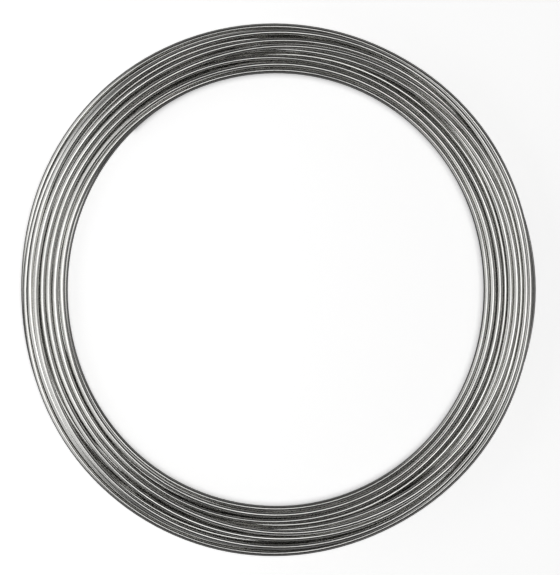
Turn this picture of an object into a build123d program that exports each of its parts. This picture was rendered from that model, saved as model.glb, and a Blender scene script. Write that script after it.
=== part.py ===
"""Coil of galvanized steel wire, in millimetres.

One length of wire is wound into a ring that lies flat. The origin is the middle of the ring on the floor, and Z is
the axis of the ring, upwards.
"""
from build123d import *
import os
from math import atan2, cos, degrees, hypot, radians, sin

# Driving dimensions
wire_diameter = 3.0
bore_diameter = 208.0

# Turns in each row, from the floor up. A row nests in the grooves of the row under it, half a turn further in or out.
turns_in_rows = [8, 7, 8, 7, 6]
nesting_angle = 30

# A turn in view is a ridge with flat sides. Its sides are hidden up to an angle from the turn beside it, and the
# groove between the two has its floor a share of the wire's radius out from the line that joins their middles.
sides_of_turn = 8
hidden_angle = 40
groove_floor_share = 0.35

# Sizes that follow from them
wire_radius = wire_diameter / 2
bore_radius = bore_diameter / 2
row_pitch = wire_diameter * cos(radians(nesting_angle))
angle_of_side = 360 / sides_of_turn


def row_of_turns(number):
    """Middles of the turns in one row, from the bore to the rim, as (radius, height)."""
    turns = turns_in_rows[number]
    height = wire_radius + number * row_pitch
    indent = (max(turns_in_rows) - turns) * wire_diameter / 2
    nearest = bore_radius + wire_radius + indent
    return [(nearest + turn * wire_diameter, height) for turn in range(turns)]


def direction(start, end):
    """Angle in degrees of the line from one point of the section to another."""
    return degrees(atan2(end[1] - start[1], end[0] - start[0]))


def beside(point, angle, distance):
    """The point at this distance from another, at this angle in degrees."""
    return (point[0] + distance * cos(radians(angle)), point[1] + distance * sin(radians(angle)))


def groove(turn, following):
    """Floor of the groove between two turns."""
    half_way = hypot(following[0] - turn[0], following[1] - turn[1]) / 2
    along = direction(turn, following)
    return beside(beside(turn, along, half_way), along - 90, groove_floor_share * wire_radius)


def edges_in_view(before, turn, after):
    """Edges of a turn's flat sides that stand clear of the points before and after it, in order."""
    first = direction(turn, before) + hidden_angle
    in_view = (direction(turn, after) - hidden_angle - first) % 360
    edges = sorted(((side + 0.5) * angle_of_side - first) % 360 for side in range(sides_of_turn))
    reach = wire_radius / cos(radians(angle_of_side / 2))
    return [beside(turn, first + edge, reach) for edge in edges if edge < in_view]


def coil_section():
    """Outline of the bundle: along the under side, up the rim, back along the upper side and down to the bore."""
    rows = [row_of_turns(number) for number in range(len(turns_in_rows))]
    widest = [number for number, turns in enumerate(turns_in_rows) if turns == max(turns_in_rows)]
    flank = rows[widest[-1]:-1]
    turns = rows[0] + [row[-1] for row in flank] + rows[-1][::-1] + [row[0] for row in reversed(flank)]

    foot_of_bore = (bore_radius, turns[0][1])
    head_of_bore = (bore_radius, turns[-1][1])
    outline = [foot_of_bore]
    for before, turn, after in zip([foot_of_bore] + turns, turns, turns[1:] + [head_of_bore]):
        outline += edges_in_view(before, turn, after)
        outline.append(after if after is head_of_bore else groove(turn, after))
    return make_face(Polyline(*outline, close=True))


wire_coil = revolve(Plane.XZ * coil_section(), Axis.Z)
wire_coil.label = "wire_coil"

os.makedirs("parts", exist_ok=True)
export_step(wire_coil, "parts/wire_coil.step")
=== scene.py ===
"""Coil of galvanized steel wire: one length of wire wound into a flat ring, seen from straight above.

Lengths are in metres, in the frame of the CAD model: Z is the axis of the ring and the floor is at zero.
The wire is laid turn by turn along given lanes, and then settles until its turns rest on each other.
"""
from math import cos, pi, radians

import bpy
import numpy as np
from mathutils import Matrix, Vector


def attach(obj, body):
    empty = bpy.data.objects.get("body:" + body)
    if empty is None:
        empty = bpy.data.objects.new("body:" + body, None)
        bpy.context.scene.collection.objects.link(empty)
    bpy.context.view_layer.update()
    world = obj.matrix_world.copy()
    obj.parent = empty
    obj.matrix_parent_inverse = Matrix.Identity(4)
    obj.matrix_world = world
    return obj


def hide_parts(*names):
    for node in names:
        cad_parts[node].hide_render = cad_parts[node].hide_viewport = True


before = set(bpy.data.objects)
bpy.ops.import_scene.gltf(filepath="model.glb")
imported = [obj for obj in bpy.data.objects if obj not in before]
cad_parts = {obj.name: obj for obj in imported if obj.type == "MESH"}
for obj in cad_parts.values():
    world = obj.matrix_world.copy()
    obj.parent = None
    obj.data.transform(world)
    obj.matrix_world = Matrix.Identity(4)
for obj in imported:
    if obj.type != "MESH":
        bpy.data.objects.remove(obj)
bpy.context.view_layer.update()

MM = 0.001

# The ring
wire_diameter = 3.0 * MM
bore_radius = 104.0 * MM
rim_radius = 127.8 * MM
oval_share = 0.0163

# The photograph: its frame in pixels, the middle of the ring in it, and its scale at a height above the floor
frame_pixels = (560, 575)
ring_pixel = (274.8, 289.6)
pixel_size = 0.4878 * MM
scale_height = 12 * MM

# The camera, with its sensor in millimetres
camera_height = 2.0
sensor_height = 24.0

# A turn's lane is a share of the way from the bore to the rim, at a few azimuths. Azimuths are in degrees,
# from the right of the picture over the top to its left. The lower half of the ring repeats the upper half.
# These are the lanes of the nearest and furthest places in the rows that lie under the others.
bore_lane_shares = {0: 0.05, 10: 0.07, 35: 0.11, 80: 0.085, 150: 0.075, 165: 0.05, 180: 0.0}
rim_lane_shares = {
    0: 1.03, 7: 1.0, 14: 0.955, 40: 0.955, 70: 0.885, 100: 0.92, 140: 0.96, 160: 0.92, 180: 0.83,
}

# Turns in those rows, from the floor up, and the place of the first in wire diameters. A row nests in the
# grooves of the row under it.
half_wire = 0.5
base_rows = [(7, 0), (7, half_wire), (7, 0)]
nesting_angle = 30

# The turns of the two rows on top, in the order in which they are wound. Each has the azimuths between which
# it lies in the upper of the two rows, or zeros if it stays in the lower one, and its lanes.
upper_lane_shares = [
    ((0, 0), {0: 0.585, 20: 0.64, 60: 0.70, 100: 0.72, 147: 0.715, 180: 0.69}),
    ((0, 36), {0: 0.52, 20: 0.585, 37: 0.58, 70: 0.60, 150: 0.60, 180: 0.57}),
    ((0, 76), {0: 0.66, 20: 0.695, 40: 0.64, 60: 0.54, 80: 0.46, 100: 0.48, 150: 0.48, 180: 0.46}),
    ((12, 72), {0: 0.41, 20: 0.485, 40: 0.455, 70: 0.415, 95: 0.375, 150: 0.35, 180: 0.33}),
    ((0, 0), {0: 0.235, 60: 0.24, 100: 0.215, 140: 0.225, 180: 0.19}),
    ((0, 0), {0: 0.11, 180: 0.05}),
    ((0, 180), {0: 0.03, 20: 0.075, 40: 0.10, 65: 0.08, 100: 0.07, 140: 0.055, 160: 0.03, 180: -0.035}),
    ((0, 180), {0: 0.17, 20: 0.20, 40: 0.18, 63: 0.205, 90: 0.145, 140: 0.155, 160: 0.145, 180: 0.12}),
    ((0, 180), {0: 0.31, 20: 0.345, 60: 0.30, 80: 0.29, 105: 0.33, 125: 0.34, 145: 0.315, 180: 0.27}),
    ((33, 180), {
        0: 0.745, 30: 0.79, 40: 0.757, 60: 0.65, 80: 0.575, 100: 0.475, 120: 0.43, 160: 0.42, 180: 0.40,
    }),
    ((43, 180), {
        0: 0.87, 20: 0.875, 43: 0.82, 60: 0.755, 80: 0.68, 100: 0.62, 120: 0.60, 150: 0.57, 180: 0.52,
    }),
    ((0, 180), {
        0: 0.845, 20: 0.90, 40: 0.92, 60: 0.885, 80: 0.83, 100: 0.80, 120: 0.805, 140: 0.785, 180: 0.66,
    }),
    ((0, 0), {
        0: 1.08, 8: 1.05, 14: 0.95, 25: 0.92, 40: 0.90, 60: 0.825, 80: 0.80, 100: 0.84, 140: 0.82, 160: 0.77,
        180: 0.71,
    }),
    ((0, 25), {
        0: 0.94, 20: 0.98, 40: 0.975, 60: 0.925, 73: 0.905, 100: 0.945, 125: 0.98, 150: 0.985, 180: 0.86,
    }),
]

# A turn begins and ends at the left of the picture. Within some degrees of there it drifts from and to its
# neighbours' lanes.
seam_azimuth = 180
drift_reach = 75

# Fineness of the wire's mesh, and the slices cut from its ends so that other turns hide both from above
slices_in_turn = 144
sides_of_wire = 16
slices_cut_from_start = 4
slices_cut_from_end = 18

# Reach in slices, and times, of the running means that smooth the wire's run
lane_smoothing = (4, 3)
level_smoothing = (4, 2)
pull_smoothing = (3, 2)
sway_smoothing = (6, 2)
open_side_smoothing = (4, 2)

# Settling, with lengths in wire diameters. Each stage has its rounds, the reach of the wire's stiffness in
# slices, its share, how strongly the turns are held in their rows, and how far they fall in each round.
settling = [
    (300, 9, 0.5, 0.05, 0.0),
    (300, 5, 0.5, 0.0125, 0.0007),
    (200, 3, 0.5, 0.0, 0.002),
    (120, 2, 0.15, 0.0, 0.0003),
]

# In each round, turns that overlap move apart by a share of the overlap, and a turn moves back to its lane by
# a share of its distance, which is smaller where the turn is hidden.
push_share = 0.35
lane_pull_share = 0.06
hidden_pull_share = 0.02

# Random sway before the settling, in wire diameters
sway_share = 0.2
sway_seed = 4

# A turn covers a side of another if it lies further to that side than this, and no more than this below it,
# in wire diameters.
covering_distance = 0.25
covering_drop = 0.75

# Drawn zinc. A grain has its length along the wire and its width round it. The noise of the patches becomes
# tones and roughness. Painted shade darkens the sides of the turns that have no turn beside them.
line_grain = (150 * MM, 0.5 * MM)
mottle_grain = (30 * MM, 1.5 * MM)
grain_detail = 3
line_depth = 0.045 * MM
patch_range = (0.7, 1.3)
patch_tones = (0.62, 1)
patch_roughness = (0.18, 0.1)
# Painted shade: over this range of how far a point faces an open side, its tone falls from the first share to
# the second
painted_side_shade_range = (0.55, 0.75)
painted_side_shade_tones = (1, 0.18)
# Ends of the colour scale. The painted shade takes the tone down towards the dark end.
darkest_zinc_and_painted_shade = (0.02, 0.02, 0.02, 1)
bright_zinc = (0.84, 0.835, 0.81, 1)
edge_tint = (0.05, 0.05, 0.05, 1)

# The floor, with a painted contact shadow that darkens its glow within a short reach of the wire
floor_side = 4.0
floor_colour = (0.8, 0.8, 0.8, 1)
floor_roughness = 0.9
floor_glow = (0.74, 0.74, 0.74, 1)
shade_reach = 3.0 * MM
shade_samples = 4

# Lamps: place, the point that they face, width and height, radiance, and spread in degrees
full_spread = 180
lamps = {
    "overhead": ((0, 0, 2.5), (0, 0, 0), (1.2, 0.5), 0.9, full_spread),
    "strip": ((0.1, 0, 2.7), (0.1, 0, 0), (3.6, 1.0), 0.85, full_spread),
    "left": ((-0.30, 0, 0.20), (-0.115, 0, 0.01), (0.6, 0.3), 0.75, full_spread),
    "inner": ((-0.02, 0, 0.10), (-0.115, 0, 0.012), (0.2, 0.12), 0.025, 50),
    "right": ((2.2, 0, 1.6), (0, 0, 0), (2.4, 1.4), 0.1, full_spread),
}

# The studio round the scene: its light at the horizon, and above a rise from there
horizon_strength = 0.4
sky_strength = 0.06
sky_rise = 0.4

# Sizes that follow from them
wire_radius = wire_diameter / 2
band_in_wires = (rim_radius - bore_radius) / wire_diameter
row_pitch = cos(radians(nesting_angle))
slice_azimuths = seam_azimuth + 360 * np.arange(slices_in_turn) / slices_in_turn
mirrored_azimuths = np.abs((slice_azimuths + 180) % 360 - 180)
side_angles = 2 * pi * np.arange(sides_of_wire) / sides_of_wire


def lanes_of(points):
    """Lane at each slice of a turn, from its lanes at a few azimuths."""
    return np.interp(mirrored_azimuths, list(points), list(points.values()))


def smoothed(values, reach, times=1):
    """Running mean along the wire."""
    for _ in range(times):
        padded = np.pad(values, reach, mode="edge")
        values = np.convolve(padded, np.full(2 * reach + 1, 1 / (2 * reach + 1)), "valid")
    return values


def faded(degrees):
    """Share of the drift this many degrees from the seam: one at the seam, and smoothly down to zero."""
    return 0.5 + 0.5 * np.cos(pi * np.clip(degrees / drift_reach, 0, 1))


def joined(lanes):
    """Lanes of turns that follow each other. At the seam each turn is half-way to its neighbour's lane."""
    seams = [lane[0] for lane in lanes]
    meetings = [seams[0], *((a + b) / 2 for a, b in zip(seams, seams[1:])), seams[-1]]
    starting = faded(slice_azimuths - seam_azimuth)
    ending = faded(seam_azimuth + 360 - slice_azimuths)
    return [
        lane + (before - seam) * starting + (after - seam) * ending
        for lane, seam, before, after in zip(lanes, seams, meetings, meetings[1:])
    ]


def base_row(row):
    """Lanes, heights and pulls of the turns in a row of the base. Every second row is wound outwards."""
    turns, first = base_rows[row]
    places = (np.arange(turns) + first) / (turns - half_wire)
    bore, rim = lanes_of(bore_lane_shares), lanes_of(rim_lane_shares)
    height = np.full(slices_in_turn, half_wire + row * row_pitch)
    pull = np.full(slices_in_turn, lane_pull_share)
    for place in places if row % 2 else places[::-1]:
        yield bore + (rim - bore) * place, height, pull


def upper_rows():
    """Lanes, heights and pulls of the turns on top."""
    for (first, last), points in upper_lane_shares:
        upper = (mirrored_azimuths >= first) & (mirrored_azimuths <= last) & (last > 0)
        in_view = upper | (last == 0)
        row = len(base_rows) + upper
        pull = np.where(in_view, lane_pull_share, hidden_pull_share)
        yield lanes_of(points), half_wire + row * row_pitch, pull


def settled(across, height, lane, level, pull):
    """Lets the turns push each other apart until they rest on each other. Lengths are in wire diameters."""
    turns = across.size // slices_in_turn
    for rounds, reach, stiffness, hold, fall in settling:
        for _ in range(rounds):
            height = height - fall + hold * (level - height)
            a, h = (values.reshape(turns, slices_in_turn).T for values in (across, height))
            apart_across = a[:, :, None] - a[:, None, :]
            apart_height = h[:, :, None] - h[:, None, :]
            apart = np.sqrt(apart_across ** 2 + apart_height ** 2) + np.eye(turns)
            push = push_share * np.clip(1 - apart, 0, None) / apart
            across = across + (push * apart_across).sum(2).T.ravel() + pull * (lane - across)
            height = height + (push * apart_height).sum(2).T.ravel()
            across = across + stiffness * (smoothed(across, reach) - across)
            height = np.maximum(height + stiffness * (smoothed(height, reach) - height), half_wire)
    return across, height


def open_sides(across, height):
    """How far each slice has nothing beside it, on its rim side and on its bore side. This is the mask of the
    painted side shade.
    """
    a, h = (values.reshape(-1, slices_in_turn).T for values in (across, height))
    as_high = h[:, None, :] > h[:, :, None] - covering_drop
    further = a[:, None, :] - a[:, :, None]
    sides = [(as_high & (side * further > covering_distance)).any(2) for side in (1, -1)]
    return [smoothed(1 - covered.T.ravel(), *open_side_smoothing) for covered in sides]


def wire_path():
    """Middle line of the wire, from the turns on top down to the floor, and how open its two sides are."""
    base = [turn for row in reversed(range(len(base_rows))) for turn in base_row(row)]
    turns = [*upper_rows(), *base]
    lanes, levels, pulls = zip(*turns)
    lane, level, pull = (np.concatenate(values) for values in (joined(lanes), levels, pulls))
    lane = smoothed(lane * band_in_wires, *lane_smoothing)
    level = smoothed(level, *level_smoothing)
    pull = smoothed(pull, *pull_smoothing)
    sway = np.random.default_rng(sway_seed).normal(0, sway_share, lane.size)
    across, height = settled(lane + smoothed(sway, *sway_smoothing), level, lane, level, pull)

    turn_angle = np.radians(np.tile(slice_azimuths, len(turns)))
    radius = bore_radius + across * wire_diameter
    x = radius * (1 - oval_share) * np.cos(turn_angle)
    y = radius * (1 + oval_share) * np.sin(turn_angle)
    path = np.column_stack([x, y, height * wire_diameter])
    in_wire = slice(slices_cut_from_start, -slices_cut_from_end)
    return path[in_wire], [side[in_wire] for side in open_sides(across, height)]


def tube_points(path):
    """Points round each slice of the wire, and the places of the same points on the straightened wire."""
    along = np.gradient(path, axis=0)
    along /= np.linalg.norm(along, axis=1, keepdims=True)
    outwards = np.cross(along, [0, 0, 1])
    outwards /= np.linalg.norm(outwards, axis=1, keepdims=True)
    upwards = np.cross(outwards, along)
    ring = wire_radius * np.column_stack([np.cos(side_angles), np.sin(side_angles)])
    sideways = ring[:, 0, None] * outwards[:, None, :]
    points = path[:, None, :] + sideways + ring[:, 1, None] * upwards[:, None, :]

    length = np.concatenate([[0], np.cumsum(np.linalg.norm(np.diff(path, axis=0), axis=1))])
    straight = np.empty_like(points)
    straight[..., 0] = length[:, None]
    straight[..., 1:] = ring
    return points, straight


def tube_faces(slices):
    """Faces between each slice and the next, and the two cut ends."""
    first = np.arange(slices - 1)[:, None] * sides_of_wire
    side = np.arange(sides_of_wire)
    following = (side + 1) % sides_of_wire
    corners = [side, following, sides_of_wire + following, sides_of_wire + side]
    faces = np.stack([first + corner for corner in corners], -1)
    ends = [side[::-1], side + (slices - 1) * sides_of_wire]
    return faces.reshape(-1, len(corners)).tolist(), [end.tolist() for end in ends]


def wire_mesh(path, open_to):
    """Tube along the path, cut square at both ends, with the values that its material reads at each point."""
    points, straight = tube_points(path)
    faces, ends = tube_faces(len(path))
    mesh = bpy.data.meshes.new("wire")
    mesh.from_pydata(points.reshape(-1, 3).tolist(), [], faces + ends)
    mesh.polygons.foreach_set("use_smooth", [True] * len(faces) + [False] * len(ends))

    place = mesh.attributes.new("straight_wire", "FLOAT_VECTOR", "POINT")
    place.data.foreach_set("vector", straight.ravel())
    # Mask of the painted side shade: the open side of each turn, strongest where the surface faces that side
    facing = [np.outer(openness, side * np.cos(side_angles)) for openness, side in zip(open_to, (1, -1))]
    side_shade_mask = mesh.attributes.new("side_shade_mask", "FLOAT", "POINT")
    side_shade_mask.data.foreach_set("value", sum(np.clip(share, 0, 1) for share in facing).ravel())
    mesh.update()
    return mesh


def added(name, data):
    """A new object in the scene."""
    piece = bpy.data.objects.new(name, data)
    bpy.context.collection.objects.link(piece)
    return piece


def new_material(name):
    """A new material, with its nodes and its shader."""
    material = bpy.data.materials.new(name)
    material.use_nodes = True
    return material, material.node_tree, material.node_tree.nodes["Principled BSDF"]


def add_node(tree, kind, **values):
    """A node with some of its inputs set. An underscore stands for a space in an input's name."""
    made = tree.nodes.new(kind)
    for name, value in values.items():
        made.inputs[name.replace("_", " ")].default_value = value
    return made


def attribute(tree, name):
    """Node that reads a value of the points of the mesh."""
    made = tree.nodes.new("ShaderNodeAttribute")
    made.attribute_name = name
    return made


def wire_noise(tree, place, grain):
    """Noise on the straightened wire, with grains of this length along it and this width round it."""
    length, width = grain
    stretch = tree.nodes.new("ShaderNodeVectorMath")
    stretch.operation = "MULTIPLY"
    stretch.inputs[1].default_value = (1 / length, 1 / width, 1 / width)
    tree.links.new(place.outputs["Vector"], stretch.inputs[0])
    noise = add_node(tree, "ShaderNodeTexNoise", Scale=1, Detail=grain_detail)
    tree.links.new(stretch.outputs["Vector"], noise.inputs["Vector"])
    return noise.outputs["Fac"]


def combined(tree, operation, first, second):
    """Result of a sum or a product of two outputs."""
    made = tree.nodes.new("ShaderNodeMath")
    made.operation = operation
    tree.links.new(first, made.inputs[0])
    tree.links.new(second, made.inputs[1])
    return made.outputs["Value"]


def mapped(tree, value, lowest, highest, start, end):
    """A value brought from one range to another."""
    made = add_node(tree, "ShaderNodeMapRange", From_Min=lowest, From_Max=highest, To_Min=start, To_Max=end)
    tree.links.new(value, made.inputs["Value"])
    return made.outputs["Result"]


def zinc():
    """Drawn zinc: fine lines along the wire, duller patches, and painted shade that darkens the sides where no
    turn lies beside it.
    """
    material, tree, shader = new_material("galvanized_wire")
    shader.inputs["Metallic"].default_value = 1
    shader.inputs["Specular Tint"].default_value = edge_tint

    place = attribute(tree, "straight_wire")
    lines = wire_noise(tree, place, line_grain)
    mottle = wire_noise(tree, place, mottle_grain)
    patches = combined(tree, "ADD", mottle, lines)
    openness = attribute(tree, "side_shade_mask").outputs["Fac"]
    # Painted shade: the tone is darkened on the sides with no turn beside them
    painted_side_shade = mapped(tree, openness, *painted_side_shade_range, *painted_side_shade_tones)
    tone = combined(tree, "MULTIPLY", mapped(tree, patches, *patch_range, *patch_tones), painted_side_shade)

    colour = tree.nodes.new("ShaderNodeValToRGB")
    dark_end, bright = colour.color_ramp.elements
    dark_end.color = darkest_zinc_and_painted_shade
    bright.color = bright_zinc
    tree.links.new(tone, colour.inputs["Fac"])
    tree.links.new(colour.outputs["Color"], shader.inputs["Base Color"])
    tree.links.new(mapped(tree, patches, *patch_range, *patch_roughness), shader.inputs["Roughness"])

    bump = add_node(tree, "ShaderNodeBump", Strength=1, Distance=line_depth)
    tree.links.new(lines, bump.inputs["Height"])
    tree.links.new(bump.outputs["Normal"], shader.inputs["Normal"])
    return material


def wire():
    """The wire itself, in place of the plain turned ring."""
    piece = added("wire", wire_mesh(*wire_path()))
    piece.data.materials.append(zinc())
    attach(piece, "root")
    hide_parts("wire_coil")


def pale():
    """Pale matt surface that glows white to the camera, mirrors and glass, and less so close to the wire,
    where a painted contact shadow dims the glow.
    """
    material, tree, shader = new_material("floor")
    shader.inputs["Base Color"].default_value = floor_colour
    shader.inputs["Roughness"].default_value = floor_roughness
    shader.inputs["Emission Color"].default_value = floor_glow
    ray = tree.nodes.new("ShaderNodeLightPath")
    seen = combined(tree, "ADD", ray.outputs["Is Camera Ray"], ray.outputs["Is Glossy Ray"])
    seen = combined(tree, "ADD", seen, ray.outputs["Is Transmission Ray"])
    # Painted contact shadow: the glow is dimmed by occlusion close to the wire
    shade = add_node(tree, "ShaderNodeAmbientOcclusion", Distance=shade_reach)
    shade.samples = shade_samples
    glow = combined(tree, "MULTIPLY", seen, shade.outputs["AO"])
    tree.links.new(glow, shader.inputs["Emission Strength"])
    return material


def floor():
    """Pale floor that shows white, with the lamps' shadow and a painted contact shadow close to the wire."""
    half = floor_side / 2
    corners = [(-half, -half, 0), (half, -half, 0), (half, half, 0), (-half, half, 0)]
    mesh = bpy.data.meshes.new("floor")
    mesh.from_pydata(corners, [], [range(len(corners))])
    piece = added("floor", mesh)
    piece.data.materials.append(pale())


def lamp(name, place, aim, size, radiance, spread):
    """A flat soft lamp that faces a point. At a radiance of 1 and full spread it shows white in a mirror."""
    light = bpy.data.lights.new(name, "AREA")
    light.shape = "RECTANGLE"
    light.size, light.size_y = size
    light.energy = radiance * pi * size[0] * size[1]
    light.spread = radians(spread)
    piece = added(name, light)
    piece.location = place
    piece.rotation_euler = (Vector(aim) - Vector(place)).to_track_quat("-Z", "Y").to_euler()


def studio():
    """Plain surroundings, bright at the horizon and dim above it."""
    world = bpy.data.worlds.new("studio")
    world.use_nodes = True
    tree = world.node_tree
    background = tree.nodes["Background"]
    background.inputs["Color"].default_value = (1, 1, 1, 1)
    direction = tree.nodes.new("ShaderNodeTexCoord")
    split = tree.nodes.new("ShaderNodeSeparateXYZ")
    tree.links.new(direction.outputs["Generated"], split.inputs["Vector"])
    strength = mapped(tree, split.outputs["Z"], 0, sky_rise, horizon_strength, sky_strength)
    tree.links.new(strength, background.inputs["Strength"])
    bpy.context.scene.world = world


def camera():
    """Straight down, at the scale of the photograph and with the ring where it is there."""
    data = bpy.data.cameras.new("camera")
    data.sensor_fit = "VERTICAL"
    data.sensor_height = sensor_height
    data.lens = sensor_height * (camera_height - scale_height) / (frame_pixels[1] * pixel_size)
    piece = added("camera", data)
    piece.location = (
        (frame_pixels[0] / 2 - ring_pixel[0]) * pixel_size,
        (ring_pixel[1] - frame_pixels[1] / 2) * pixel_size,
        camera_height,
    )
    bpy.context.scene.camera = piece


wire()
floor()
for name, settings in lamps.items():
    lamp(name, *settings)
studio()
camera()
bpy.context.scene.view_settings.view_transform = "Standard"
